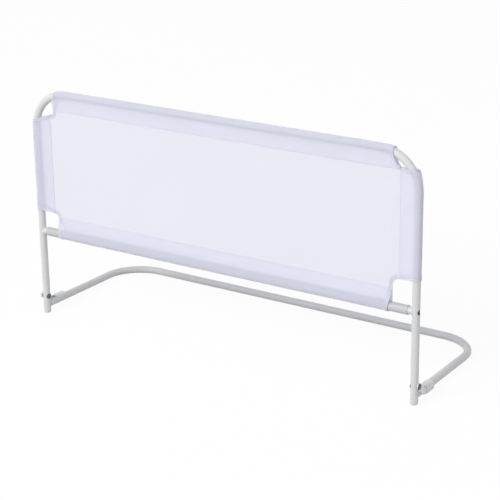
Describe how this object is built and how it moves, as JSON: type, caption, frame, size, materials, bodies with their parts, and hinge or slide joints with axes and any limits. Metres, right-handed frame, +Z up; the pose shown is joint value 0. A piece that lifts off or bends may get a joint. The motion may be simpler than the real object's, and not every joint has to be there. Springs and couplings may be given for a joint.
{
  "type": "folding bed guard rail",
  "caption": "Bed guard rail: bent white tube frame with a mesh fabric panel, and a U-shaped base bar hinged to its legs that lies under the mattress.",
  "frame": {"origin": "on the floor, at the middle of the footprint's bounding box", "axes": "+X along the rail to its right end seen from the panel's outer side, +Y from the panel back under the bed, +Z up"},
  "size_m": [0.9316, 0.3308, 0.5163],
  "materials": {
    "white_paint": "smooth semi-gloss white powder coat",
    "white_plastic": "satin moulded white plastic",
    "dark_zinc": "dull dark zinc plating",
    "mesh_fabric": "fine white mesh with a faint lavender cast",
    "sleeve_fabric": "plain white woven fabric"
  },
  "bodies": {
    "upright": {"upper_frame": "white_paint", "cross_rail": "white_paint", "mesh_panel": "mesh_fabric", "top_sleeve": "sleeve_fabric", "bottom_sleeve": "sleeve_fabric", "left_sleeve": "sleeve_fabric", "right_sleeve": "sleeve_fabric", "leg_cap_left": "white_plastic", "rail_plug_left": "white_plastic", "rail_bolt_left": "dark_zinc", "rail_bush_left": "dark_zinc", "rail_nut_left": "dark_zinc", "pivot_bolt_left": "dark_zinc", "pivot_bush_left": "dark_zinc", "pivot_nut_left": "dark_zinc", "leg_cap_right": "white_plastic", "rail_plug_right": "white_plastic", "rail_bolt_right": "dark_zinc", "rail_bush_right": "dark_zinc", "rail_nut_right": "dark_zinc", "pivot_bolt_right": "dark_zinc", "pivot_bush_right": "dark_zinc", "pivot_nut_right": "dark_zinc"},
    "base": {"base_bar": "white_paint", "arm_plug_left": "white_plastic", "hinge_plate_left": "white_paint", "hinge_cover_left": "white_plastic", "plate_rivet_left_front": "dark_zinc", "plate_rivet_left_rear": "dark_zinc", "arm_plug_right": "white_plastic", "hinge_plate_right": "white_paint", "hinge_cover_right": "white_plastic", "plate_rivet_right_front": "dark_zinc", "plate_rivet_right_rear": "dark_zinc"}
  },
  "joints": [
    {"name": "base_hinge", "type": "hinge", "parent": "upright", "child": "base", "pos_m": [0, -0.1546, 0.04], "axis": [1, 0, 0], "range_deg": [0, 90]}
  ]
}
